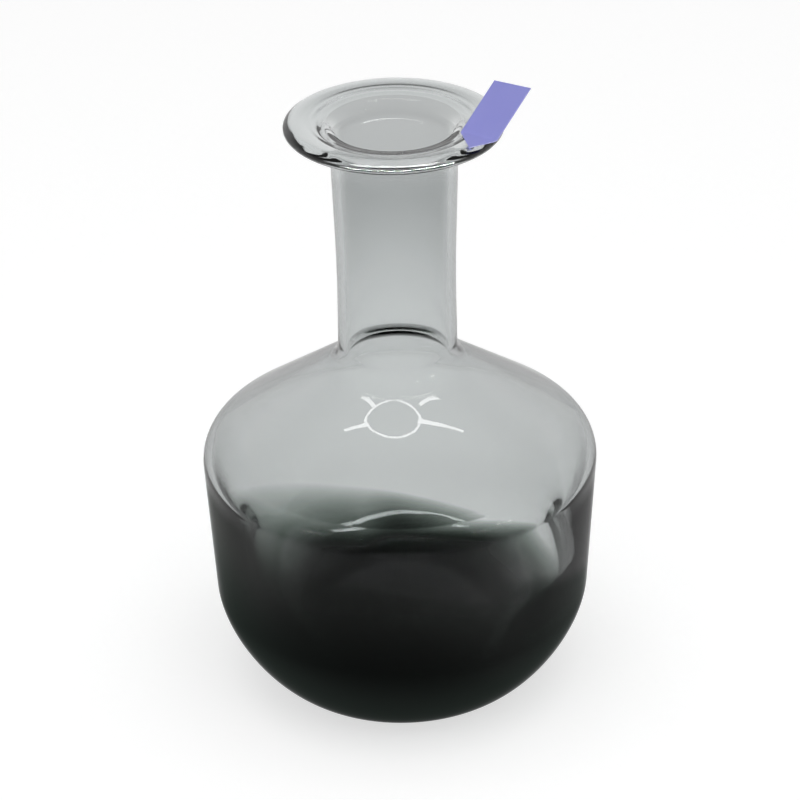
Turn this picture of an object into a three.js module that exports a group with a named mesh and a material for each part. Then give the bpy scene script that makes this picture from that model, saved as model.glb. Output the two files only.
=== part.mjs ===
// A mouth-blown whiskey decanter, in millimetres with +Z up. The origin is the middle of its foot.
// Two gathers of glass make it: a clear vessel, blown in one piece from its floor to its flared lip, and a
// heavy smoke-coloured casing, gathered askew over its lower half. A plain adhesive tag is stuck on the lip.
import * as THREE from "three";

// Foot and heel: the heel is one curve from the flat foot to the wall
const footRadius = 38;
const puntRadius = 30;
const puntDepth = 3;
const heelHeight = 38.5;
const heelFootPull = 12;
const heelWallPull = 15;

// Wall and shoulder: the wall opens a little towards the shoulder, which is a cone with a round corner
const wallFootRadius = 67.3;
const wallTopRadius = 70;
const wallRise = 49.1;
const shoulderSlope = THREE.MathUtils.degToRad(35.4);
const shoulderRound = 11;

// Neck and lip: the neck is drawn in at its waist, and the lip is a shallow dish that rolls down to its edge
const neckRadius = 20.9;
const neckWaistRadius = 20.5;
const neckTopRadius = 22;
const neckRootRound = 13;
const neckLength = 84.6;
const waistRise = 34;
const waistRound = 600;
const lipRadius = 37.3;
const lipRise = 3.05;
const lipThickness = 3;
const lipCrestRadius = 31;
const lipRoll = 2;
const crestPull = 3.15;
const rollPull = 1.4;
const edgeTurn = 1.9;
const edgeDrop = 1.2;
const edgePull = 0.7;
const underPull = 0.95;
const lipRootRound = 7;
const throatRound = 5;

// Glass thickness, measured through both gathers where the casing covers the vessel. The foot of the cavity
// lies a little off the axis, towards azimuth 0, and is pinched at azimuths 0 and 180 degrees.
const floorThickness = 13;
const cavityFloorRadius = 34;
const wallFootThickness = 6.5;
const wallTopThickness = 3.1;
const shoulderThickness = 3;
const cavityRound = 8;
const cavityShift = 1;
const cavityPinch = 3.7;
const pinchHeight = 62;
const boreRootRound = 16;
const neckWall = 3;

// Smoke casing: thick under the floor, thinned out up the wall, its upper edge on a slanting plane
const casingBase = 7.5;
const casingEdge = 0.8;
const casingTaper = 1.1;
const casingHeight = 52;
const casingSlant = THREE.MathUtils.degToRad(21);
const casingHighAzimuth = THREE.MathUtils.degToRad(235);
const fusedSeam = 0.2;

// Adhesive tag: a five-sided flag, folded where its pointed end is stuck across the lip
const tagReach = 12.65;
const tagReachAzimuth = THREE.MathUtils.degToRad(-25);
const tagOverhang = 4.1;
const tagOverhangAzimuth = THREE.MathUtils.degToRad(-35);
const tagTipInset = 0.85;
const tagTipAzimuth = THREE.MathUtils.degToRad(-47.3);
const tagLength = 21.7;
const tagLift = THREE.MathUtils.degToRad(37);
const tagThickness = 0.4;
const tagClearance = 0.25;

// Fineness of the facets
const turnSteps = 60;
const arcStep = THREE.MathUtils.degToRad(15);
const heelSteps = 7;
const puntSteps = 3;
const casingSteps = 10;
const wallSteps = 4;
const rimSteps = 4;
const reachHalvings = 30;

const at = (radius, height) => new THREE.Vector2(radius, height);
const along = (start, direction, length) => start.clone().addScaledVector(direction, length);

// Where the line from p along u crosses the line from q along v.
function meet(p, u, q, v) {
  const between = q.clone().sub(p);
  return along(p, u, between.cross(v) / u.cross(v));
}

// A polyline through the corners, each one turned with its own radius.
function rounded(corners) {
  const points = [];
  corners.forEach(({ corner, round = 0 }, i) => {
    if (round === 0) {
      points.push(corner);
      return;
    }
    const back = corners[i - 1].corner.clone().sub(corner).normalize();
    const onward = corners[i + 1].corner.clone().sub(corner).normalize();
    const turn = Math.PI - Math.acos(back.dot(onward));
    const first = along(corner, back, round * Math.tan(turn / 2));
    const sense = Math.sign(onward.cross(back));
    const inward = at(back.y, -back.x).multiplyScalar(sense);
    const centre = along(first, inward, round);
    const steps = Math.max(1, Math.ceil(turn / arcStep));
    for (let k = 0; k <= steps; k += 1) {
      points.push(first.clone().rotateAround(centre, (sense * turn * k) / steps));
    }
  });
  return points;
}

// The outside of the wall and shoulder
const wallDirection = at(wallTopRadius - wallFootRadius, wallRise).normalize();
const coneDirection = at(-Math.cos(shoulderSlope), Math.sin(shoulderSlope));
const wallFoot = at(wallFootRadius, heelHeight);
const wallTop = at(wallTopRadius, heelHeight + wallRise);
const shoulderTurn = Math.acos(wallDirection.dot(coneDirection));
const shoulderCorner = along(wallTop, wallDirection, shoulderRound * Math.tan(shoulderTurn / 2));
const upright = at(0, 1);
const level = at(1, 0);
const neckRoot = meet(shoulderCorner, coneDirection, at(neckRadius, 0), upright);

// The heights of the neck and lip follow from the neck's root
const waist = at(neckWaistRadius, neckRoot.y + waistRise);
const lipRoot = at(neckTopRadius, neckRoot.y + neckLength);
const boreTopRadius = neckTopRadius - neckWall;
const lipDirection = at(lipRadius - boreTopRadius, lipRise).normalize();
const lipStart = along(lipRoot, upright, lipThickness);
const onLipLine = (radius) => meet(lipStart, lipDirection, at(radius, 0), upright);
const throat = onLipLine(boreTopRadius);
const crest = onLipLine(lipCrestRadius);
const edge = at(lipRadius, crest.y - lipRoll);
const edgeUnder = at(lipRadius - edgeTurn, edge.y - edgeDrop);

// The inside of the shoulder runs parallel to its outside, and meets the bore and the wall of the cavity
const coneInward = at(-Math.sin(shoulderSlope), -Math.cos(shoulderSlope));
const coneInside = along(shoulderCorner, coneInward, shoulderThickness);
const boreRoot = meet(coneInside, coneDirection, at(neckRadius - neckWall, 0), upright);
const boreWaist = at(neckWaistRadius - neckWall, waist.y);
const cavityWallTop = at(wallTopRadius - wallTopThickness, wallTop.y);

// The heel's curve, from the edge of a floor or foot up to the foot of a wall that runs on in a direction.
function heel(floorEdge, wallStart, direction) {
  const floorPull = at(floorEdge.x + heelFootPull, floorEdge.y);
  const wallPull = along(wallStart, direction, -heelWallPull);
  return new THREE.CubicBezierCurve(floorEdge, floorPull, wallPull, wallStart);
}

// The flank is the outside of the body from the edge of the foot to the top of the wall
const flank = new THREE.CurvePath();
flank.add(heel(at(footRadius, 0), wallFoot, wallDirection));
flank.add(new THREE.LineCurve(wallFoot, wallTop));
const seamShare = fusedSeam / flank.getLength();

// A point this share of the way up the flank and this deep in the glass.
function inFlank(share, depth) {
  const tangent = flank.getTangent(share);
  return along(flank.getPoint(share), at(-tangent.y, tangent.x), depth);
}

// How far up the flank the casing reaches at an azimuth: there the flank meets the slanting plane.
function casingReach(azimuth) {
  const lean = Math.tan(casingSlant) * Math.cos(azimuth - casingHighAzimuth);
  let low = 0;
  let high = 1;
  for (let halving = 0; halving < reachHalvings; halving += 1) {
    const middle = (low + high) / 2;
    const point = flank.getPoint(middle);
    const covered = point.y < casingHeight + lean * point.x;
    low = covered ? middle : low;
    high = covered ? high : middle;
  }
  return low;
}

// The casing's thickness this share of the way from the foot to its edge.
const casingDepth = (share) => THREE.MathUtils.lerp(casingBase, casingEdge, share ** casingTaper);

const upTo = (steps, make) => Array.from({ length: steps + 1 }, (_, k) => make(k / steps));

// A solid turned about the Z axis. Its profile varies with the azimuth, and starts and ends on the axis.
function turned(profileAt) {
  const geometry = new THREE.LatheGeometry(profileAt(0), turnSteps);
  const position = geometry.getAttribute("position");
  const length = position.count / (turnSteps + 1);
  for (let column = 0; column <= turnSteps; column += 1) {
    const azimuth = (2 * Math.PI * (column % turnSteps)) / turnSteps;
    profileAt(azimuth).forEach((point, row) => {
      const x = point.x * Math.cos(azimuth);
      const y = point.x * Math.sin(azimuth);
      position.setXYZ(column * length + row, x, y, point.y);
    });
  }
  return geometry;
}

// The edge of the lip, from its underside round to the crest.
function lipRim() {
  const underDirection = edgeUnder.clone().sub(lipRoot).normalize();
  const underHandle = along(edgeUnder, underDirection, underPull);
  const edgeHandle = along(edge, upright, -edgePull);
  const rollHandle = along(edge, upright, rollPull);
  const crestHandle = along(crest, lipDirection, crestPull);
  const rim = new THREE.CurvePath();
  rim.add(new THREE.CubicBezierCurve(edgeUnder, underHandle, edgeHandle, edge));
  rim.add(new THREE.CubicBezierCurve(edge, rollHandle, crestHandle, crest));
  return rim;
}

// The cavity at an azimuth, from the throat down to the middle of its floor.
function cavity(azimuth) {
  const shift = cavityShift * Math.cos(azimuth);
  const pinch = cavityPinch * Math.cos(azimuth) ** 2;
  const unpinched = at(wallFootRadius - wallFootThickness + shift, heelHeight);
  const direction = cavityWallTop.clone().sub(unpinched).normalize();
  const pinchStart = meet(unpinched, direction, at(0, pinchHeight), level);
  const foot = along(unpinched, level, -pinch);
  const floorPinch = (pinch * cavityFloorRadius) / unpinched.x;
  const floorEdge = at(cavityFloorRadius + shift - floorPinch, floorThickness);
  const wall = rounded([
    { corner: crest },
    { corner: throat, round: throatRound },
    { corner: boreWaist, round: waistRound },
    { corner: boreRoot, round: boreRootRound },
    { corner: meet(coneInside, coneDirection, cavityWallTop, direction), round: cavityRound },
    { corner: pinchStart },
    { corner: foot },
  ]);
  const floor = heel(floorEdge, foot, pinchStart.clone().sub(foot).normalize());
  return [...wall.slice(1), ...floor.getPoints(heelSteps).reverse().slice(1), at(0, floorThickness)];
}

// The clear vessel: over its floor inside the casing, out on the ledge, up to the lip, and back down inside
function clearVessel() {
  const outside = rounded([
    { corner: wallTop },
    { corner: shoulderCorner, round: shoulderRound },
    { corner: neckRoot, round: neckRootRound },
    { corner: waist, round: waistRound },
    { corner: lipRoot, round: lipRootRound },
    { corner: edgeUnder },
  ]);
  const rim = lipRim().getPoints(rimSteps);
  return turned((azimuth) => {
    const reach = casingReach(azimuth);
    const ledge = reach + seamShare;
    return [
      at(0, casingBase + fusedSeam),
      ...upTo(casingSteps, (share) => inFlank(share * reach, casingDepth(share) + fusedSeam)),
      inFlank(ledge, casingEdge + fusedSeam),
      ...upTo(wallSteps, (share) => flank.getPoint(THREE.MathUtils.lerp(ledge, 1, share))),
      ...outside.slice(2),
      ...rim.slice(1),
      ...cavity(azimuth),
    ];
  });
}

// The smoke casing: a cup with a shallow punt, a flat foot ring and a wall that thins to its edge
function smokeCasing() {
  const puntPull = at(puntRadius / 2, puntDepth);
  const punt = new THREE.QuadraticBezierCurve(at(0, puntDepth), puntPull, at(puntRadius, 0));
  return turned((azimuth) => {
    const reach = casingReach(azimuth);
    return [
      ...punt.getPoints(puntSteps),
      ...upTo(casingSteps, (share) => flank.getPoint(share * reach)),
      ...upTo(casingSteps, (share) => inFlank(share * reach, casingDepth(share))).reverse(),
      at(0, casingBase),
    ];
  });
}

// The tag: a flat panel and a triangle folded down on the lip, as one sheet of even thickness
function adhesiveTag() {
  const onLip = (radius, azimuth) =>
    new THREE.Vector3(
      radius * Math.cos(azimuth),
      radius * Math.sin(azimuth),
      onLipLine(radius).y + tagClearance,
    );
  const inner = onLip(lipRadius - tagReach, tagReachAzimuth);
  const outer = onLip(lipRadius + tagOverhang, tagOverhangAzimuth);
  const tip = onLip(lipRadius - tagTipInset, tagTipAzimuth);
  const fold = outer.clone().sub(inner).normalize();
  const aside = new THREE.Vector3(-fold.y, fold.x, 0).normalize();
  const steep = aside.clone().cross(fold).negate();
  const panel = aside.multiplyScalar(Math.cos(tagLift)).addScaledVector(steep, Math.sin(tagLift));
  const panelNormal = fold.clone().cross(panel).normalize();
  const tailNormal = fold.clone().cross(inner.clone().sub(tip)).normalize();
  const foldNormal = panelNormal.clone().add(tailNormal).normalize();
  const foldOffset = tagThickness / foldNormal.dot(panelNormal);
  const lower = [
    inner.clone().addScaledVector(panel, tagLength),
    outer.clone().addScaledVector(panel, tagLength),
    outer,
    tip,
    inner,
  ];
  const offsets = [
    panelNormal.clone().multiplyScalar(tagThickness),
    panelNormal.clone().multiplyScalar(tagThickness),
    foldNormal.clone().multiplyScalar(foldOffset),
    tailNormal.clone().multiplyScalar(tagThickness),
    foldNormal.clone().multiplyScalar(foldOffset),
  ];
  const upper = lower.map((point, i) => point.clone().add(offsets[i]));
  const sides = lower.length;
  const sheet = [[0, 4, 2], [0, 2, 1], [4, 3, 2]];
  const faces = sheet.map((face) => face.map((corner) => corner + sides));
  faces.push(...sheet.map(([a, b, c]) => [a, c, b]));
  for (let i = 0; i < sides; i += 1) {
    const next = (i + 1) % sides;
    faces.push([next, i, i + sides], [next, i + sides, next + sides]);
  }
  const geometry = new THREE.BufferGeometry().setFromPoints([...lower, ...upper]);
  geometry.setIndex(faces.flat());
  return geometry;
}

function piece(name, geometry, finish) {
  const mesh = new THREE.Mesh(geometry, new THREE.MeshStandardMaterial(finish));
  mesh.name = name;
  return mesh;
}

const clearGlass = { color: 0xd3dad6, roughness: 0.03, metalness: 0, transparent: true, opacity: 0.35 };
const smokeGlass = { color: 0x20241f, roughness: 0.03, metalness: 0, transparent: true, opacity: 0.85 };
const tagFilm = { color: 0x7d7fc8, roughness: 0.8, metalness: 0 };

const decanter = new THREE.Group();
decanter.add(
  piece("clear_glass_vessel", clearVessel(), clearGlass),
  piece("smoke_glass_casing", smokeCasing(), smokeGlass),
  piece("rim_tag", adhesiveTag(), tagFilm),
);

export default decanter;
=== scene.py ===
from math import acos, ceil, cos, pi, radians, sin, tan

import bpy
from mathutils import Matrix, Vector
from mathutils.geometry import interpolate_bezier


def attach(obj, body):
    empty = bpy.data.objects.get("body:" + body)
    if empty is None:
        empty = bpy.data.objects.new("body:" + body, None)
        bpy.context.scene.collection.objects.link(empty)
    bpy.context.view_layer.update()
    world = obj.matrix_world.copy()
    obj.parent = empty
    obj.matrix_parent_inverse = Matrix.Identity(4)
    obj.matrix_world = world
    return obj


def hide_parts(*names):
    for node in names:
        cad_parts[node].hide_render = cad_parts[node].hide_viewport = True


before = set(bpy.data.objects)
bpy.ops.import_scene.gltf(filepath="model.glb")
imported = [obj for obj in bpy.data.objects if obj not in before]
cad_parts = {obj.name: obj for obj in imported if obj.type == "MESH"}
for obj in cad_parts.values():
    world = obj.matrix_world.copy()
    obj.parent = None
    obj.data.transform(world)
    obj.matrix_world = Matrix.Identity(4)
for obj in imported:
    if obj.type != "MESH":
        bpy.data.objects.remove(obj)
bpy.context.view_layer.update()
print("frame loaded:", sorted(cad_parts))


# Small helpers for working by operator

def startClean():
    if bpy.context.mode != "OBJECT":
        bpy.ops.object.mode_set(mode="OBJECT")
    bpy.ops.object.select_all(action="DESELECT")


def workOn(piece):
    startClean()
    piece.select_set(True)
    bpy.context.view_layer.objects.active = piece


def selectFaces(piece, wanted):
    workOn(piece)
    bpy.ops.object.mode_set(mode="EDIT")
    bpy.ops.mesh.select_mode(type="FACE")
    bpy.ops.mesh.select_all(action="DESELECT")
    bpy.ops.object.mode_set(mode="OBJECT")
    for face in piece.data.polygons:
        face.select = wanted(face)
    bpy.ops.object.mode_set(mode="EDIT")


def giveFaces(piece, slotIndex, wanted):
    selectFaces(piece, wanted)
    piece.active_material_index = slotIndex
    bpy.ops.object.material_slot_assign()
    bpy.ops.object.mode_set(mode="OBJECT")


def applyModifier(piece, name):
    workOn(piece)
    bpy.ops.object.modifier_apply(modifier=name)


# Outline of the whole glass, both gathers together, as radius and height in metres
glassBody = {
    "footRadius": 0.038,
    "puntRadius": 0.030,
    "puntDepth": 0.003,
    "heelHeight": 0.0385,
    "heelFootPull": 0.012,
    "heelWallPull": 0.015,
    "wallFootRadius": 0.0673,
    "wallTopRadius": 0.06998,
    "wallRise": 0.0491,
    "shoulderSlope": radians(35.4),
    "shoulderRound": 0.011,
    "neckRadius": 0.0209,
    "neckWaistRadius": 0.0205,
    "neckTopRadius": 0.022,
    "neckRootRound": 0.009,
    "neckLength": 0.0846,
    "waistRise": 0.034,
    "waistRound": 0.6,
    "lipRadius": 0.0373,
    "lipRise": 0.00305,
    "lipThickness": 0.003,
    "lipCrest": 0.031,          # outside this radius the lip rolls down to its edge
    "lipRoll": 0.0020,
    "edgeTurn": 0.0030,         # how far the edge turns in underneath
    "edgeDrop": 0.0020,
    "lipRootRound": 0.007,
    "throatRound": 0.005,
    "rippleHeight": 0.00006,    # faint tool rings on the lip
    "rippleCount": 3,
    "rippleSteps": 30,
    "edgeFullness": 0.6,        # how full the two curves of the rolled edge are
    "rollFullness": 0.7,
    "floorThickness": 0.013,
    "cavityFloorRadius": 0.034,
    "wallFootThickness": 0.0065,
    "wallTopThickness": 0.0031,
    "shoulderThickness": 0.003,
    "cavityRound": 0.008,
    "cavityShift": 0.0010,      # the foot of the cavity sits this far off the axis, to the right
    "cavityPinch": 0.0037,      # and is narrowed this much on each side, from this height down
    "pinchHeight": 0.059,
    "boreRootRound": 0.012,
    "neckThickness": 0.003,
    "turnSteps": 160,
    "arcStep": radians(6),      # finest turn between two rings on a round
    "longestStep": 0.0025,      # rings are never further apart than this
    "heelSteps": 28,
    "puntSteps": 12,
    "edgeSteps": 10,
    "rollSteps": 18,
    "smoothAngle": radians(50),
}
weldDistance = 1e-6


def meet(p, u, q, v):           # where the line from p along u crosses the line from q along v
    between = q - p
    return p + u * (between.cross(v) / u.cross(v))


def roundedOutline(corners):    # each corner is a point and the radius that it is turned with
    points = []
    for i, (corner, radius) in enumerate(corners):
        if radius == 0:
            points.append(corner)
            continue
        back = (corners[i - 1][0] - corner).normalized()
        onward = (corners[i + 1][0] - corner).normalized()
        turn = pi - acos(back.dot(onward))
        reach = radius * tan(turn / 2)
        first = corner + back * reach
        sense = 1 if onward.cross(back) > 0 else -1
        centre = first + Vector((back.y, -back.x)) * sense * radius
        steps = max(3, ceil(turn / glassBody["arcStep"]))
        arm = first - centre
        for k in range(steps + 1):
            angle = sense * turn * k / steps
            points.append(centre + Vector((
                arm.x * cos(angle) - arm.y * sin(angle),
                arm.x * sin(angle) + arm.y * cos(angle),
            )))
    return points


def heelCurve(floorEdge, wallStart, wallDirection):
    g = glassBody
    floorPull = floorEdge + Vector((g["heelFootPull"], 0))
    wallPull = wallStart - wallDirection * g["heelWallPull"]
    return interpolate_bezier(floorEdge, floorPull, wallPull, wallStart, g["heelSteps"])


def evenOutline(points):        # adds rings on the long straight stretches
    even = [points[0]]
    for point in points[1:]:
        span = point - even[-1]
        if span.length < weldDistance:
            continue
        start = even[-1]
        parts = ceil(span.length / glassBody["longestStep"])
        even += [start + span * (k / parts) for k in range(1, parts + 1)]
    return even


def rippled(start, end):        # a straight stretch with faint rings that die out at both ends
    g = glassBody
    points = []
    for k in range(g["rippleSteps"] + 1):
        share = k / g["rippleSteps"]
        wave = sin(share * g["rippleCount"] * 2 * pi) * sin(share * pi)
        points.append(start.lerp(end, share) + Vector((0, g["rippleHeight"] * wave)))
    return points


def glassOutline():
    g = glassBody
    upright = Vector((0, 1))
    wallFoot = Vector((g["wallFootRadius"], g["heelHeight"]))
    wallTop = Vector((g["wallTopRadius"], g["heelHeight"] + g["wallRise"]))
    wallDirection = (wallTop - wallFoot).normalized()
    coneDirection = Vector((-cos(g["shoulderSlope"]), sin(g["shoulderSlope"])))
    shoulderTurn = acos(wallDirection.dot(coneDirection))
    shoulderCorner = wallTop + wallDirection * g["shoulderRound"] * tan(shoulderTurn / 2)
    neckRoot = meet(shoulderCorner, coneDirection, Vector((g["neckRadius"], 0)), upright)
    waist = Vector((g["neckWaistRadius"], neckRoot.y + g["waistRise"]))
    lipRoot = Vector((g["neckTopRadius"], neckRoot.y + g["neckLength"]))
    boreTop = g["neckTopRadius"] - g["neckThickness"]
    lipDirection = Vector((g["lipRadius"] - boreTop, g["lipRise"])).normalized()
    lipStart = lipRoot + upright * g["lipThickness"]
    crest = meet(lipStart, lipDirection, Vector((g["lipCrest"], 0)), upright)
    throat = meet(lipStart, lipDirection, Vector((boreTop, 0)), upright)
    edge = Vector((g["lipRadius"], crest.y - g["lipRoll"]))
    edgeUnder = edge - Vector((g["edgeTurn"], g["edgeDrop"]))
    coneInward = Vector((-sin(g["shoulderSlope"]), -cos(g["shoulderSlope"])))
    coneInside = shoulderCorner + coneInward * g["shoulderThickness"]
    boreRadius = g["neckRadius"] - g["neckThickness"]
    boreRoot = meet(coneInside, coneDirection, Vector((boreRadius, 0)), upright)
    boreWaist = Vector((g["neckWaistRadius"] - g["neckThickness"], waist.y))
    cavityWallTop = wallTop - Vector((g["wallTopThickness"], 0))
    cavityWallFoot = wallFoot - Vector((g["wallFootThickness"], 0))
    cavityDirection = (cavityWallTop - cavityWallFoot).normalized()
    cavityCorner = meet(coneInside, coneDirection, cavityWallTop, cavityDirection)

    punt = interpolate_bezier(
        Vector((0, g["puntDepth"])),
        Vector((g["puntRadius"] / 3, g["puntDepth"])),
        Vector((g["puntRadius"] * 2 / 3, g["puntDepth"] * 2 / 3)),
        Vector((g["puntRadius"], 0)),
        g["puntSteps"],
    )
    heel = heelCurve(Vector((g["footRadius"], 0)), wallFoot, wallDirection)
    upper = roundedOutline([
        (wallTop, 0),
        (shoulderCorner, g["shoulderRound"]),
        (neckRoot, g["neckRootRound"]),
        (waist, g["waistRound"]),
        (lipRoot, g["lipRootRound"]),
        (edgeUnder, 0),
    ])
    underDirection = (edgeUnder - lipRoot).normalized()
    rim = interpolate_bezier(
        edgeUnder,
        edgeUnder + underDirection * g["edgeTurn"] / 2,
        edge - upright * g["edgeDrop"] * g["edgeFullness"],
        edge,
        g["edgeSteps"],
    ) + interpolate_bezier(
        edge,
        edge + upright * g["lipRoll"] * g["rollFullness"],
        crest + lipDirection * (g["lipRadius"] - g["lipCrest"]) / 2,
        crest,
        g["rollSteps"],
    )
    inner = roundedOutline([
        (crest, 0),
        (throat, g["throatRound"]),
        (boreWaist, g["waistRound"]),
        (boreRoot, g["boreRootRound"]),
        (cavityCorner, g["cavityRound"]),
        (cavityWallFoot, 0),
    ])
    floorEdge = Vector((g["cavityFloorRadius"], g["floorThickness"]))
    floor = heelCurve(floorEdge, cavityWallFoot, cavityDirection)[::-1]
    lipTop = rippled(inner[0], inner[1])
    outside = evenOutline(punt + heel + upper + rim + lipTop)
    cavity = evenOutline([outside[-1]] + inner[1:] + floor + [Vector((0, g["floorThickness"]))])
    return outside, cavity[1:], (inner[1], crest)


# The outline is drawn point by point, then spun about the axis
def turnGlass(outside, cavity):
    startClean()
    bpy.ops.mesh.primitive_plane_add(size=glassBody["longestStep"])
    glass = bpy.context.active_object
    glass.name = "wholeGlass"
    bpy.ops.object.mode_set(mode="EDIT")
    bpy.ops.mesh.select_mode(type="VERT")
    bpy.ops.mesh.select_all(action="SELECT")
    bpy.ops.mesh.merge(type="CENTER")
    outline = outside + cavity
    bpy.ops.transform.translate(value=(outline[0].x, 0, outline[0].y))
    for before, after in zip(outline, outline[1:]):
        step = after - before
        bpy.ops.mesh.extrude_region_move(TRANSFORM_OT_translate={"value": (step.x, 0, step.y)})
    bpy.ops.object.mode_set(mode="OBJECT")
    outsideGroup = glass.vertex_groups.new(name="outside")
    outsideGroup.add(range(len(outside)), 1.0, "REPLACE")
    bpy.ops.object.mode_set(mode="EDIT")
    bpy.ops.mesh.select_all(action="SELECT")
    bpy.ops.mesh.spin(
        steps=glassBody["turnSteps"], angle=2 * pi,
        center=(0, 0, 0), axis=(0, 0, 1), use_auto_merge=True,
    )
    bpy.ops.mesh.select_all(action="SELECT")
    bpy.ops.mesh.remove_doubles(threshold=weldDistance)
    bpy.ops.mesh.normals_make_consistent(inside=False)
    bpy.ops.object.mode_set(mode="OBJECT")
    return glass


def easeDown(height, start, full):  # 0 above the start, 1 below the full height
    share = min(1, max(0, (start - height) / (start - full)))
    return share * share * (3 - 2 * share)


def placeCavity(glass):         # by hand the cavity is never quite central, or quite round
    g = glassBody
    outsideGroup = glass.vertex_groups["outside"].index
    moves = {
        "shift": g["cavityShift"],
        "pinchRight": -g["cavityPinch"],
        "pinchLeft": g["cavityPinch"],
    }
    groups = {name: glass.vertex_groups.new(name=name) for name in moves}
    wallTop = g["heelHeight"] + g["wallRise"]
    fullSide = g["wallFootRadius"] - g["wallFootThickness"]
    for vertex in glass.data.vertices:
        if any(held.group == outsideGroup for held in vertex.groups):
            continue
        x, z = vertex.co.x, vertex.co.z
        shift = easeDown(z, wallTop, g["heelHeight"])
        pinch = easeDown(z, g["pinchHeight"], g["heelHeight"]) * abs(x) / fullSide
        pinchName = "pinchRight" if x > 0 else "pinchLeft"
        groups["shift"].add([vertex.index], shift, "REPLACE")
        groups[pinchName].add([vertex.index], min(1, pinch), "REPLACE")
    for name, distance in moves.items():
        move = glass.modifiers.new(name, "DISPLACE")
        move.direction = "X"
        move.mid_level = 0
        move.strength = distance
        move.vertex_group = name
        applyModifier(glass, name)


outside, cavity, lipLine = glassOutline()
wholeGlass = turnGlass(outside, cavity)
placeCavity(wholeGlass)
print("glass turned:", len(wholeGlass.data.polygons), "faces")

# The smoke gather ends on a slanting plane: high at the front left, low at the back right
smokeGather = {
    "height": 0.052,
    "slant": radians(21),
    "highAzimuth": radians(235),
    "baseDepth": 0.0075,        # thickness under the floor
    "edgeDepth": 0.0008,        # thickness at the slanting edge
    "wallShare": 0.4,           # share of the full thickness that it has on the wall
    "wallReach": 0.03,          # reached this far below the edge
    "footHeight": 0.03,         # and below this height it thickens to the full
}


def smokeEdgeHeight(x, y):
    s = smokeGather
    towardsHigh = x * cos(s["highAzimuth"]) + y * sin(s["highAzimuth"])
    return s["height"] + tan(s["slant"]) * towardsHigh


def planeNormal():
    s = smokeGather
    lean = tan(s["slant"])
    return Vector((-lean * cos(s["highAzimuth"]), -lean * sin(s["highAzimuth"]), 1)).normalized()


def outsideFace(piece):
    group = piece.vertex_groups["outside"].index
    inGroup = [any(g.group == group for g in v.groups) for v in piece.data.vertices]
    return lambda face: all(inGroup[i] for i in face.vertices)


# Slice the outside along that plane and part what lies below it
selectFaces(wholeGlass, outsideFace(wholeGlass))
bpy.ops.mesh.bisect(plane_co=(0, 0, smokeGather["height"]), plane_no=planeNormal())
bpy.ops.object.mode_set(mode="OBJECT")
isOutside = outsideFace(wholeGlass)
selectFaces(
    wholeGlass,
    lambda face: isOutside(face) and face.center.z < smokeEdgeHeight(face.center.x, face.center.y),
)
bpy.ops.mesh.separate(type="SELECTED")
bpy.ops.object.mode_set(mode="OBJECT")
smokeCasing = next(o for o in bpy.context.selected_objects if o is not wholeGlass)
smokeCasing.name = "smokeCasing"
clearVessel = wholeGlass
clearVessel.name = "clearVessel"


# Materials of the glass
white = (1, 1, 1, 1)


def grey(level):
    return (level, level, level, 1)


def greys(*stops):              # stops of a ramp, each a place and a level
    return [(place, grey(level)) for place, level in stops]


# The outer face of both gathers
outerFinish = {
    "ior": 1.5,
    "height": 0.22,             # the ramps go up to here, at the lip
    "tints": (                  # of the glass itself, from the wall up to the lip
        (0.27, (0.905, 0.945, 0.94, 1)),
        (0.43, (0.745, 0.775, 0.775, 1)),
        (0.60, (0.745, 0.775, 0.775, 1)),
        (0.68, (0.70, 0.73, 0.73, 1)),
        (0.90, (0.70, 0.73, 0.73, 1)),
        (0.955, (0.60, 0.625, 0.625, 1)),
    ),
    "cloudTint": grey(0.92),
    "cloudScale": 18,
    "cloudDetail": 2,
    "mirrors": greys(           # share of the straight reflection that is left: most on shoulder and lip
        (0.27, 0.2), (0.39, 0), (0.455, 0), (0.47, 1), (0.562, 1), (0.575, 0), (0.90, 0), (0.955, 1),
    ),
    "skinIor": 1.02,
    "skins": greys(             # of a thin outer skin, which darkens towards the outline
        (0.27, 0.81), (0.43, 0.87), (0.60, 0.87), (0.68, 0.90), (0.90, 0.90), (0.955, 1),
    ),
    "front": (0.02, -0.01),     # places along Y between which the front's own skins and painted shade come in
    "sideTop": (0.090, 0.080),  # heights between which those at the sides do
    "leftSkin": (0.62, 0.63, 0.62, 1),          # painted shade darkens the front wall near the outline at both sides
    "leftAcross": (-0.046, -0.060),
    "rightSkin": grey(0.66),
    "rightAcross": (0.054, 0.061),
    "cornerSkin": (0.52, 0.54, 0.53, 1),        # the painted shade darkens sooner at the right
    "cornerAcross": (0.028, 0.050),
    "cornerDepth": (-11, -2),   # millimetres below the smoke's edge
    "lowSkin": (0.38, 0.43, 0.405, 1),          # and, at the front, the skin darkens everywhere towards the foot
    "lowDepth": (-4, 40),
    "reach": 0.062,             # half the width over which the haze with its painted side shade, and the smoke, change
    # the front's smoke haze, with painted shade that darkens it towards the left and right outline
    "hazeAndSideShades": greys((0, 0.3), (0.3, 0.75), (0.5, 0.9), (0.7, 0.75), (1, 0.3)),
    "hazeAndShadeDepth": (-14, 0),      # the front's haze and painted shade feather out this far above the smoke's edge
    "hazeAndShadeFront": (0.01, -0.02),
}


def newMaterial(name):
    material = bpy.data.materials.new(name)
    material.use_nodes = True
    nodes = material.node_tree.nodes
    return material, nodes, material.node_tree.links, nodes["Principled BSDF"]


def colourRamp(nodes, links, value, stops):
    ramp = nodes.new("ShaderNodeValToRGB")
    ramp.color_ramp.interpolation = "EASE"
    ends = ramp.color_ramp.elements
    for end, (place, colour) in zip(ends, (stops[0], stops[-1])):
        end.position = place
        end.color = colour
    for place, colour in stops[1:-1]:
        ends.new(place).color = colour
    links.new(value, ramp.inputs["Fac"])
    return ramp.outputs["Color"]


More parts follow.
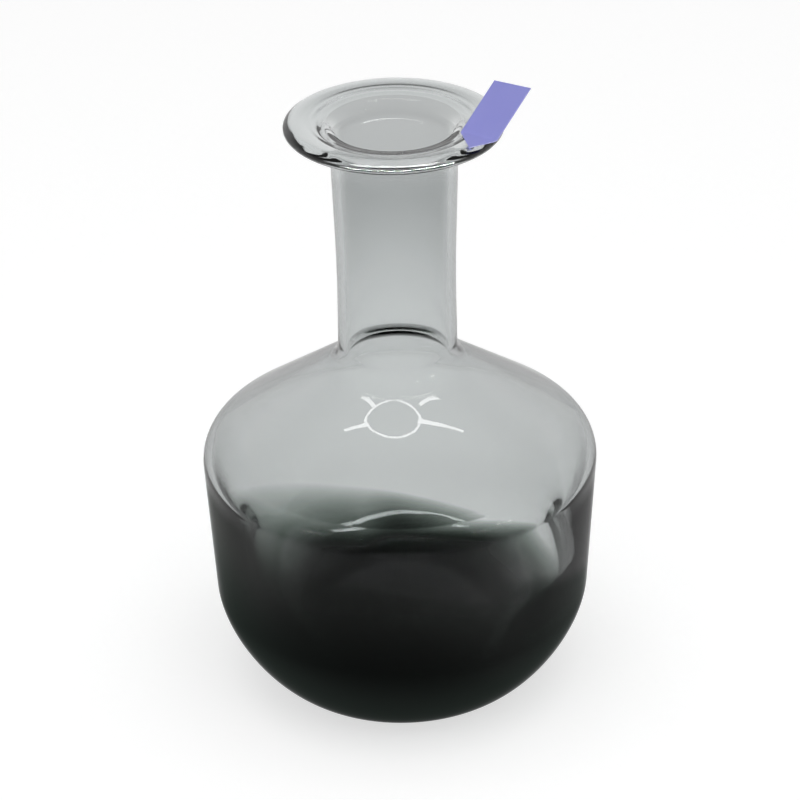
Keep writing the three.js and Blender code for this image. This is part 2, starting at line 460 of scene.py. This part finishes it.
def rangeNode(nodes, links, value, start, end, top=1.0):    # 0 up to the start, the top from the end on
    ranged = nodes.new("ShaderNodeMapRange")
    ranged.inputs["From Min"].default_value = start
    ranged.inputs["From Max"].default_value = end
    ranged.inputs["To Max"].default_value = top
    links.new(value, ranged.inputs["Value"])
    return ranged


def easeNode(nodes, links, value, start, full):     # the same from 0 to 1, with soft ends
    ease = rangeNode(nodes, links, value, start, full)
    ease.interpolation_type = "SMOOTHSTEP"
    return ease.outputs["Result"]


def mixNode(nodes, links, factor, a, b, blend="MIX"):       # a and b are colours or sockets
    mix = nodes.new("ShaderNodeMix")
    mix.data_type = "RGBA"
    mix.blend_type = blend
    for socket, value in (("Factor", factor), ("A", a), ("B", b)):
        if isinstance(value, bpy.types.NodeSocket):
            links.new(value, mix.inputs[socket])
        else:
            mix.inputs[socket].default_value = value
    return mix.outputs["Result"]


def mathNode(nodes, links, operation, *values):
    node = nodes.new("ShaderNodeMath")
    node.operation = operation
    for i, value in enumerate(values):
        if isinstance(value, bpy.types.NodeSocket):
            links.new(value, node.inputs[i])
        else:
            node.inputs[i].default_value = value
    return node.outputs[0]


def timesNode(nodes, links, a, b):
    return mathNode(nodes, links, "MULTIPLY", a, b)


def placeNodes(nodes, links):   # object coordinates, whole and apart
    place = nodes.new("ShaderNodeTexCoord").outputs["Object"]
    parts = nodes.new("ShaderNodeSeparateXYZ")
    links.new(place, parts.inputs["Vector"])
    return place, *parts.outputs


def cloudNode(nodes, links, place, scale, detail):
    cloud = nodes.new("ShaderNodeTexNoise")
    cloud.inputs["Scale"].default_value = scale
    cloud.inputs["Detail"].default_value = detail
    links.new(place, cloud.inputs["Vector"])
    return cloud.outputs["Fac"]


def glassShader(shader):
    shader.inputs["Roughness"].default_value = 0.0
    shader.inputs["IOR"].default_value = outerFinish["ior"]
    shader.inputs["Transmission Weight"].default_value = 1.0


def smokeDepth(nodes, links, place):        # below the slanting edge of the smoke, in millimetres
    s = smokeGather
    lean = 1000 * tan(s["slant"])
    along = nodes.new("ShaderNodeVectorMath")
    along.operation = "DOT_PRODUCT"
    along.inputs[1].default_value = (
        lean * cos(s["highAzimuth"]), lean * sin(s["highAzimuth"]), -1000
    )
    links.new(place, along.inputs[0])
    return mathNode(nodes, links, "ADD", along.outputs["Value"], 1000 * s["height"])


# Skin, with painted shade at the front's sides, and mirror of the outer face; the rest is returned for
# the two materials
def outerGlass(nodes, links, shader):
    f = outerFinish
    place, x, y, z = placeNodes(nodes, links)
    up = rangeNode(nodes, links, z, 0, f["height"]).outputs["Result"]
    across = rangeNode(nodes, links, x, -f["reach"], f["reach"]).outputs["Result"]
    depth = smokeDepth(nodes, links, place)
    cloud = cloudNode(nodes, links, place, f["cloudScale"], f["cloudDetail"])
    clouds = mixNode(nodes, links, cloud, f["cloudTint"], white)
    plain = colourRamp(nodes, links, up, f["tints"])
    tint = mixNode(nodes, links, 1.0, plain, clouds, "MULTIPLY")
    # on the front only: the smoke's haze feathered above its edge, with painted shade darker towards
    # both sides
    hazeAndShadeShare = timesNode(
        nodes, links,
        easeNode(nodes, links, depth, *f["hazeAndShadeDepth"]),
        easeNode(nodes, links, y, *f["hazeAndShadeFront"]),
    )
    hazeAndShade = mixNode(nodes, links, hazeAndShadeShare, white, colourRamp(nodes, links, across, f["hazeAndSideShades"]))
    tint = mixNode(nodes, links, 1.0, tint, hazeAndShade, "MULTIPLY")

    skin = colourRamp(nodes, links, up, f["skins"])
    front = easeNode(nodes, links, y, *f["front"])
    below = {
        "left": easeNode(nodes, links, z, *f["sideTop"]),
        "right": easeNode(nodes, links, z, *f["sideTop"]),
        "corner": easeNode(nodes, links, depth, *f["cornerDepth"]),
    }
    # painted shade at the front's left and right sides, and sooner at its right corner, is mixed into
    # the skin
    for part, reached in below.items():
        atPart = easeNode(nodes, links, x, *f[part + "Across"])
        share = timesNode(nodes, links, timesNode(nodes, links, reached, front), atPart)
        skin = mixNode(nodes, links, share, skin, f[part + "Skin"])
    low = timesNode(nodes, links, easeNode(nodes, links, depth, *f["lowDepth"]), front)
    skin = mixNode(nodes, links, low, skin, f["lowSkin"])
    shader.inputs["Coat Weight"].default_value = 1.0
    shader.inputs["Coat Roughness"].default_value = 0.0
    shader.inputs["Coat IOR"].default_value = f["skinIor"]
    links.new(skin, shader.inputs["Coat Tint"])
    mirror = colourRamp(nodes, links, up, f["mirrors"])
    links.new(mirror, shader.inputs["Specular Tint"])
    return across, y, depth, tint


def makeClearGlass():
    material, nodes, links, shader = newMaterial("clearGlass")
    glassShader(shader)
    *others, tint = outerGlass(nodes, links, shader)
    links.new(tint, shader.inputs["Base Color"])
    return material


smokeFinish = {
    "perMillimetre": (0.555, 0.585, 0.565, 1),  # what passes a millimetre of depth under the edge
    "deepest": 60,
    "backStrengths": greys((0, 0.21), (0.36, 0.44), (0.5, 0.8), (1, 0.58)),
    "frontStrengths": greys((0, 0.27), (0.5, 0.45), (1, 0.32)),
    "front": (0.02, -0.02),     # places along Y between which the back gives way to the front
    "clearBack": (18, 4),       # the back lets no light through below the first of these depths
    "deepBack": (11, 18),       # and its own colour comes to show between these
    "upperDeep": (0.030, 0.036, 0.032, 1),      # that colour, below the edge and at the foot
    "lowerDeep": (0.0075, 0.009, 0.008, 1),
    "lowerFrom": (12, 46),
    "shine": 0.0,               # of the part that lets no light through
}


def makeSmokeGlass():
    f = smokeFinish
    material, nodes, links, shader = newMaterial("smokeGlass")
    glassShader(shader)
    shader.inputs["Specular IOR Level"].default_value = f["shine"]
    across, y, depth, tint = outerGlass(nodes, links, shader)
    deepest = f["deepest"]
    depth = rangeNode(nodes, links, depth, 0, deepest, deepest).outputs["Result"]
    # the gather is thinner at the left and right, where the colour fades more slowly
    atBack = colourRamp(nodes, links, across, f["backStrengths"])
    atFront = colourRamp(nodes, links, across, f["frontStrengths"])
    nearer = easeNode(nodes, links, y, *f["front"])
    strength = mixNode(nodes, links, nearer, atBack, atFront)
    scaled = timesNode(nodes, links, depth, strength)
    absorb = nodes.new("ShaderNodeGamma")
    absorb.inputs["Color"].default_value = f["perMillimetre"]
    links.new(scaled, absorb.inputs["Gamma"])
    passed = mixNode(nodes, links, 1.0, tint, absorb.outputs["Color"], "MULTIPLY")
    # further down the back lets nothing through and shows a colour of its own
    lower = easeNode(nodes, links, depth, *f["lowerFrom"])
    deep = mixNode(nodes, links, lower, f["upperDeep"], f["lowerDeep"])
    clearBack = easeNode(nodes, links, scaled, *f["clearBack"])
    atDeep = easeNode(nodes, links, scaled, *f["deepBack"])
    backColour = mixNode(nodes, links, atDeep, passed, deep)
    clear = mixNode(nodes, links, nearer, clearBack, white)
    links.new(clear, shader.inputs["Transmission Weight"])
    colour = mixNode(nodes, links, nearer, backColour, passed)
    links.new(colour, shader.inputs["Base Color"])
    return material


cavityFinish = {
    "cloudTint": (0.96, 0.97, 0.965, 1),
    "cloudScale": 22,
    "cloudDetail": 2,
    "neckBackPaintedShade": (0.42, 0.43, 0.43, 1),          # painted shade: the back of the neck's inside is greyer
    "neckFrom": (0.13, 0.19),
    "neckBack": (-0.008, 0.008),
    "mirror": grey(0),
    "heelMirror": grey(1),      # low down
    "heelTop": (0.060, 0.045),
    "heelFoot": (0.008, 0.026),
}


def makeCavityGlass():
    f = cavityFinish
    material, nodes, links, shader = newMaterial("cavityGlass")
    glassShader(shader)
    place, x, y, z = placeNodes(nodes, links)
    cloud = cloudNode(nodes, links, place, f["cloudScale"], f["cloudDetail"])
    body = mixNode(nodes, links, cloud, f["cloudTint"], white)
    # painted shade on the back of the neck's inside
    neck = timesNode(
        nodes, links,
        easeNode(nodes, links, z, *f["neckFrom"]),
        easeNode(nodes, links, y, *f["neckBack"]),
    )
    links.new(mixNode(nodes, links, neck, body, f["neckBackPaintedShade"]), shader.inputs["Base Color"])
    heel = timesNode(
        nodes, links,
        easeNode(nodes, links, z, *f["heelTop"]),
        easeNode(nodes, links, z, *f["heelFoot"]),
    )
    mirror = mixNode(nodes, links, heel, f["mirror"], f["heelMirror"])
    links.new(mirror, shader.inputs["Specular Tint"])
    return material


def makeFusedFace():
    material, nodes, links, shader = newMaterial("fusedFace")
    shader.inputs["Alpha"].default_value = 0.0
    return material


clearGlass = makeClearGlass()
smokeGlass = makeSmokeGlass()
cavityGlass = makeCavityGlass()
fusedFace = makeFusedFace()

# The casing gets its thickness inwards, thin at the edge and thick under the floor
for piece in (clearVessel, smokeCasing):
    piece.data.materials.clear()
for material in (smokeGlass, fusedFace):
    smokeCasing.data.materials.append(material)
for material in (clearGlass, fusedFace, cavityGlass):
    clearVessel.data.materials.append(material)
isOutside = outsideFace(clearVessel)
giveFaces(clearVessel, 2, lambda face: not isOutside(face))

depthGroup = smokeCasing.vertex_groups.new(name="depth")
for vertex in smokeCasing.data.vertices:
    below = smokeEdgeHeight(vertex.co.x, vertex.co.y) - vertex.co.z
    wallPart = smokeGather["wallShare"] * min(1, max(0, below / smokeGather["wallReach"]))
    footPart = max(0, 1 - vertex.co.z / smokeGather["footHeight"])
    depthGroup.add([vertex.index], wallPart + (1 - wallPart) * footPart, "REPLACE")
gather = smokeCasing.modifiers.new("gather", "SOLIDIFY")
gather.thickness = smokeGather["baseDepth"]
gather.offset = -1
gather.vertex_group = "depth"
gather.thickness_vertex_group = smokeGather["edgeDepth"] / smokeGather["baseDepth"]
gather.material_offset = 1
gather.material_offset_rim = 1
applyModifier(smokeCasing, "gather")

# The vessel is closed with a copy of the casing's inner skin, turned round
workOn(smokeCasing)
bpy.ops.object.duplicate()
meetingSkin = bpy.context.active_object
selectFaces(meetingSkin, lambda face: face.material_index == 0)
bpy.ops.mesh.delete(type="FACE")
bpy.ops.mesh.select_all(action="SELECT")
bpy.ops.mesh.flip_normals()
bpy.ops.object.mode_set(mode="OBJECT")
workOn(clearVessel)
meetingSkin.select_set(True)
bpy.ops.object.join()
bpy.ops.object.mode_set(mode="EDIT")
bpy.ops.mesh.select_all(action="SELECT")
bpy.ops.mesh.remove_doubles(threshold=weldDistance)
bpy.ops.object.mode_set(mode="OBJECT")

for piece, node, slot in (
    (clearVessel, "clear_glass_vessel", "clear_glass"),
    (smokeCasing, "smoke_glass_casing", "smoke_glass"),
):
    workOn(piece)
    bpy.ops.object.shade_smooth_by_angle(angle=glassBody["smoothAngle"])
    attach(piece, "root")
    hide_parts(node)
for piece in (clearVessel, smokeCasing):
    print(piece.name + ":", len(piece.data.polygons), "faces")

# The tag: a strip of film, stuck across the lip by its pointed end and folded up from there
filmTag = {
    "reach": 0.01265,           # the fold begins this far inside the edge of the lip
    "reachAzimuth": radians(-25),
    "overhang": 0.0041,         # and ends this far outside it
    "overhangAzimuth": radians(-35),
    "tipInset": 0.00085,
    "tipAzimuth": radians(-47.3),
    "length": 0.0217,
    "lift": radians(37),
    "thickness": 0.00028,
    "clearance": 0.0003,
    "foldWidth": 0.0014,
    "foldSteps": 6,
    "acrossSteps": 16,
    "alongSteps": 60,
    "edgeShare": 0.25,          # of the thickness, rounded off at each edge
    "edgeSteps": 2,
    "edgeAngle": radians(40),
    "smoothAngle": radians(35),
}


def onLip(radius, azimuth):     # a point just over the lip, or over its line further out
    inmost, crest = lipLine
    height = inmost.y + (radius - inmost.x) * (crest.y - inmost.y) / (crest.x - inmost.x)
    return Vector((radius * cos(azimuth), radius * sin(azimuth), height + filmTag["clearance"]))


def makeTag():
    t = filmTag
    lip = glassBody["lipRadius"]
    inner = onLip(lip - t["reach"], t["reachAzimuth"])
    outer = onLip(lip + t["overhang"], t["overhangAzimuth"])
    tip = onLip(lip - t["tipInset"], t["tipAzimuth"])
    foldLine = (outer - inner).normalized()
    width = (outer - inner).length
    tipAlong = (tip - inner).dot(foldLine)
    away = inner + foldLine * tipAlong - tip
    tipOut = away.length
    away.normalize()
    up = foldLine.cross(away)
    level = Vector((-foldLine.y, foldLine.x, 0)).normalized()
    rising = level * cos(t["lift"]) + foldLine.cross(level) * sin(t["lift"])
    foldAngle = acos(rising.dot(away))
    # flat strip, with the fold along X and the panel towards +Y
    startClean()
    bpy.ops.mesh.primitive_grid_add(
        x_subdivisions=t["acrossSteps"], y_subdivisions=t["alongSteps"], size=1
    )
    tag = bpy.context.active_object
    tag.name = "filmTag"
    bpy.ops.object.mode_set(mode="EDIT")
    bpy.ops.mesh.select_all(action="SELECT")
    bpy.ops.transform.resize(value=(width, t["length"] + tipOut, 1))
    bpy.ops.transform.translate(value=(width / 2, (t["length"] - tipOut) / 2, 0))
    # cut the tail to its point
    for cutFrom in (0, width):
        bpy.ops.mesh.select_all(action="SELECT")
        across = Vector((tipAlong - cutFrom, -tipOut, 0)).normalized()
        outwards = Vector((across.y, -across.x, 0)) * (1 if cutFrom == 0 else -1)
        bpy.ops.mesh.bisect(plane_co=(cutFrom, 0, 0), plane_no=outwards, clear_outer=True)
    bpy.ops.object.mode_set(mode="OBJECT")
    # fold in small turns, each about the place that the last one carried it to
    flat = [v.co.y for v in tag.data.vertices]
    turn = foldAngle / t["foldSteps"]
    stride = t["foldWidth"] / t["foldSteps"]
    hinge = Vector((0, -t["foldWidth"] / 2, 0))
    for k in range(t["foldSteps"]):
        mark = -t["foldWidth"] / 2 + stride * k
        workOn(tag)
        bpy.ops.object.mode_set(mode="EDIT")
        bpy.ops.mesh.select_mode(type="VERT")
        bpy.ops.mesh.select_all(action="DESELECT")
        bpy.ops.object.mode_set(mode="OBJECT")
        for vertex, y in zip(tag.data.vertices, flat):
            vertex.select = y > mark
        bpy.ops.object.mode_set(mode="EDIT")
        bpy.ops.transform.rotate(value=-turn, orient_axis="X", center_override=hinge)
        bpy.ops.object.mode_set(mode="OBJECT")
        hinge += Vector((0, cos(turn * (k + 1)), sin(turn * (k + 1)))) * stride
    film = tag.modifiers.new("film", "SOLIDIFY")
    film.thickness = t["thickness"]
    film.offset = 1
    applyModifier(tag, "film")
    edges = tag.modifiers.new("edges", "BEVEL")
    edges.width = t["thickness"] * t["edgeShare"]
    edges.segments = t["edgeSteps"]
    edges.limit_method = "ANGLE"
    edges.angle_limit = t["edgeAngle"]
    applyModifier(tag, "edges")
    tag.matrix_world = Matrix((
        (foldLine.x, away.x, up.x, inner.x),
        (foldLine.y, away.y, up.y, inner.y),
        (foldLine.z, away.z, up.z, inner.z),
        (0, 0, 0, 1),
    ))
    workOn(tag)
    bpy.ops.object.transform_apply(location=True, rotation=True, scale=True)
    bpy.ops.object.shade_smooth_by_angle(angle=t["smoothAngle"])
    return tag


filmFinish = {
    "violet": (0.205, 0.212, 0.578, 1),
    "fadedViolet": (0.225, 0.232, 0.60, 1),
    "blotchScale": 140,
    "blotchDetail": 3,
    "fibreScale": 2600,
    "fibreDetail": 2,
    "smoothest": 0.5,
    "roughest": 0.7,
    "grainStrength": 0.15,
    "grainDepth": 0.0002,
    "shine": 0.3,
}


def makeFilm():
    f = filmFinish
    material, nodes, links, shader = newMaterial("violetFilm")
    place = nodes.new("ShaderNodeTexCoord").outputs["Object"]
    blotches = cloudNode(nodes, links, place, f["blotchScale"], f["blotchDetail"])
    fibres = cloudNode(nodes, links, place, f["fibreScale"], f["fibreDetail"])
    tint = mixNode(nodes, links, blotches, f["violet"], f["fadedViolet"])
    links.new(tint, shader.inputs["Base Color"])
    rough = rangeNode(nodes, links, blotches, 0, 1, f["roughest"])
    rough.inputs["To Min"].default_value = f["smoothest"]
    links.new(rough.outputs["Result"], shader.inputs["Roughness"])
    grain = nodes.new("ShaderNodeBump")
    grain.inputs["Strength"].default_value = f["grainStrength"]
    grain.inputs["Distance"].default_value = f["grainDepth"]
    links.new(fibres, grain.inputs["Height"])
    links.new(grain.outputs["Normal"], shader.inputs["Normal"])
    shader.inputs["Specular IOR Level"].default_value = f["shine"]
    return material


rimTag = makeTag()
rimTag.data.materials.append(makeFilm())
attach(rimTag, "root")
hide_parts("rim_tag")
print("tag:", len(rimTag.data.polygons), "faces")

# Floor, world and lamps
studio = {
    "floorSize": 8,
    "floorDrop": 0.0002,        # just clear of the foot
    "floorColour": (0.5, 0.5, 0.5, 1),
    "floorRoughness": 0.9,
    "floorWhite": 0.62,         # what the floor shows by itself, the rest is lit
    "skyLight": 0.9,
    "backdropTop": 0.35,        # sine of the elevation where the white backdrop ends
    "ceilingFrom": 0.7,         # and where the ceiling's own grey is reached
    "ceilingGrey": 0.25,
    "overheadPlace": (0, -0.4, 1.6),
    "overheadAim": (0, 0, 0.1),
    "overheadSize": 1.6,
    "overheadPower": 15,
    "tubeAway": 1.3,            # a long lamp behind the camera, brighter at one end
    "tubeGlow": 170,
    "tubeEndGlow": 420,
    "tubeEnd": (                # azimuth, elevation and half the height, in degrees
        (64, 26.0, 3.6),
        (50, 30.0, 4.2),
        (40, 31.8, 3.8),
    ),
    "tube": (
        (40, 31.8, 3.8),
        (4, 30.8, 3.0),
        (-27, 30.0, 2.2),
        (-45, 26.5, 1.6),
        (-57, 22.8, 1.0),
    ),
    "wheelHeight": 1.2,         # a flat ring with four spokes, overhead
    "wheelGlow": 10,
    "wheelSteps": 48,
    "spokeSteps": 8,
    "wheelMiddle": (-0.082, -0.2355),
    "wheelReach": (0.35, 0.0135),
    "wheelBow": (0.574, -0.095),        # how it bends and leans, to suit the cone that mirrors it
    "wheelLine": 0.05,
    "wheelSpokes": (            # from end to end, in reaches, and half the width
        ((-1.62, -0.74), (-0.83, -0.40), 0.12),
        ((0.90, -0.17), (2.32, -0.74), 0.12),
        ((-1.44, 1.80), (-0.80, 0.68), 0.08),
        ((1.10, 0.75), (2.0, 1.80), 0.08),
    ),
    "panelGlow": 16,            # a broad lamp overhead, which the lip shows
    "panelReach": 0.36,
    "panelFrom": -0.05,
    "panelTo": 0.25,
}


def seenRays(nodes, links):     # 1 for what the camera sees, straight or by way of the glass
    path = nodes.new("ShaderNodeLightPath").outputs
    straight = mathNode(nodes, links, "MAXIMUM", path["Is Camera Ray"], path["Is Glossy Ray"])
    return mathNode(nodes, links, "MAXIMUM", straight, path["Is Transmission Ray"])


def makeFloor():
    startClean()
    bpy.ops.mesh.primitive_plane_add(
        size=studio["floorSize"], location=(0, 0, -studio["floorDrop"])
    )
    floor = bpy.context.active_object
    floor.name = "paleFloor"
    material, nodes, links, shader = newMaterial("paleFloor")
    shader.inputs["Base Color"].default_value = studio["floorColour"]
    shader.inputs["Roughness"].default_value = studio["floorRoughness"]
    shader.inputs["Specular IOR Level"].default_value = 0.0
    shader.inputs["Emission Color"].default_value = white
    strength = rangeNode(nodes, links, seenRays(nodes, links), 0, 1, studio["floorWhite"])
    links.new(strength.outputs["Result"], shader.inputs["Emission Strength"])
    floor.data.materials.append(material)


def makeWorld():
    world = bpy.data.worlds.new("whiteStudio")
    bpy.context.scene.world = world
    world.use_nodes = True
    nodes = world.node_tree.nodes
    links = world.node_tree.links
    strength = rangeNode(nodes, links, seenRays(nodes, links), 0, 1)
    strength.inputs["To Min"].default_value = studio["skyLight"]
    links.new(strength.outputs["Result"], nodes["Background"].inputs["Strength"])
    # white up to a little above the horizon, a dim ceiling higher up
    place = nodes.new("ShaderNodeTexCoord")
    parts = nodes.new("ShaderNodeSeparateXYZ")
    links.new(place.outputs["Generated"], parts.inputs["Vector"])
    heights = (studio["backdropTop"], studio["ceilingFrom"])
    ceiling = rangeNode(nodes, links, parts.outputs["Z"], *heights, studio["ceilingGrey"])
    ceiling.interpolation_type = "SMOOTHSTEP"
    ceiling.inputs["To Min"].default_value = 1.0
    links.new(ceiling.outputs["Result"], nodes["Background"].inputs["Color"])


def addOverhead():              # a soft lamp that the glass doesn't show
    data = bpy.data.lights.new("overhead", "AREA")
    data.shape = "RECTANGLE"
    data.size = data.size_y = studio["overheadSize"]
    data.energy = studio["overheadPower"]
    lamp = bpy.data.objects.new("overhead", data)
    bpy.context.scene.collection.objects.link(lamp)
    place = Vector(studio["overheadPlace"])
    aim = Vector(studio["overheadAim"])
    lamp.location = place
    lamp.rotation_euler = (aim - place).to_track_quat("-Z", "Y").to_euler()
    lamp.visible_glossy = False
    lamp.visible_transmission = False


def addGlow(name, points, faces, strength):         # a lamp that is only seen mirrored in the glass
    data = bpy.data.meshes.new(name)
    data.from_pydata(points, [], faces)
    glow = bpy.data.objects.new(name, data)
    bpy.context.scene.collection.objects.link(glow)
    material, nodes, links, shader = newMaterial(name)
    shader.inputs["Base Color"].default_value = grey(0)
    shader.inputs["Emission Color"].default_value = white
    shader.inputs["Emission Strength"].default_value = strength
    data.materials.append(material)
    glow.visible_camera = False
    glow.visible_diffuse = False
    glow.visible_shadow = False
    return glow


def addTube(name):
    away = studio["tubeAway"]
    points = []
    for azimuth, elevation, half in studio[name]:
        turn = radians(azimuth)
        for rise in (radians(elevation - half), radians(elevation + half)):
            level = cos(rise) * away
            points.append((level * sin(turn), -level * cos(turn), sin(rise) * away))
    faces = [(i, i + 1, i + 3, i + 2) for i in range(0, len(points) - 2, 2)]
    addGlow(name, points, faces, studio[name + "Glow"])


def addWheel():
    s = studio
    turns = [2 * pi * k / s["wheelSteps"] for k in range(s["wheelSteps"] + 1)]
    lines = [([Vector((cos(turn), sin(turn))) for turn in turns], s["wheelLine"])]
    shares = [k / s["spokeSteps"] for k in range(s["spokeSteps"] + 1)]
    for start, end, half in s["wheelSpokes"]:
        lines.append(([Vector(start).lerp(Vector(end), share) for share in shares], half))
    points = []
    faces = []
    for line, half in lines:
        for i, spot in enumerate(line):
            along = line[min(i + 1, len(line) - 1)] - line[max(i - 1, 0)]
            side = Vector((-along.y, along.x)).normalized() * half
            for place in (spot - side, spot + side):
                x = place.x * s["wheelReach"][0]
                y = place.y * s["wheelReach"][1] + s["wheelBow"][0] * x * x + s["wheelBow"][1] * x
                points.append((s["wheelMiddle"][0] + x, s["wheelMiddle"][1] + y, s["wheelHeight"]))
            if i > 0:
                last = len(points) - 1
                faces.append((last - 3, last - 2, last, last - 1))
    wheel = addGlow("wheelLamp", points, faces, s["wheelGlow"])
    wheel.visible_transmission = False


def addPanel():
    s = studio
    corners = [(-1, "panelFrom"), (1, "panelFrom"), (1, "panelTo"), (-1, "panelTo")]
    points = [(side * s["panelReach"], s[end], s["wheelHeight"]) for side, end in corners]
    panel = addGlow("panelLamp", points, [(0, 1, 2, 3)], s["panelGlow"])
    panel.visible_transmission = False


makeFloor()
makeWorld()
addTube("tube")
addTube("tubeEnd")
addWheel()
addPanel()
addOverhead()
print("studio set")

# Camera at the photograph's viewing angle
photoCamera = {
    "side": 0.0004,
    "away": 0.9302,
    "height": 0.6398,
    "pitch": radians(29.69),
    "roll": radians(-1.097),
    "lens": 136.5,
    "clipEnd": 50,
}
lightBounces = {"all": 24, "through": 24, "unseen": 32}
cameraData = bpy.data.cameras.new("photoCamera")
cameraData.lens = photoCamera["lens"]
cameraData.clip_end = photoCamera["clipEnd"]
camera = bpy.data.objects.new("photoCamera", cameraData)
bpy.context.scene.collection.objects.link(camera)
camera.location = (photoCamera["side"], -photoCamera["away"], photoCamera["height"])
camera.rotation_euler = (pi / 2 - photoCamera["pitch"], 0, 0)
camera.rotation_euler.rotate_axis("Z", photoCamera["roll"])
scene = bpy.context.scene
scene.camera = camera
scene.view_settings.view_transform = "Standard"
scene.cycles.max_bounces = lightBounces["all"]
scene.cycles.transmission_bounces = lightBounces["through"]
scene.cycles.transparent_max_bounces = lightBounces["unseen"]
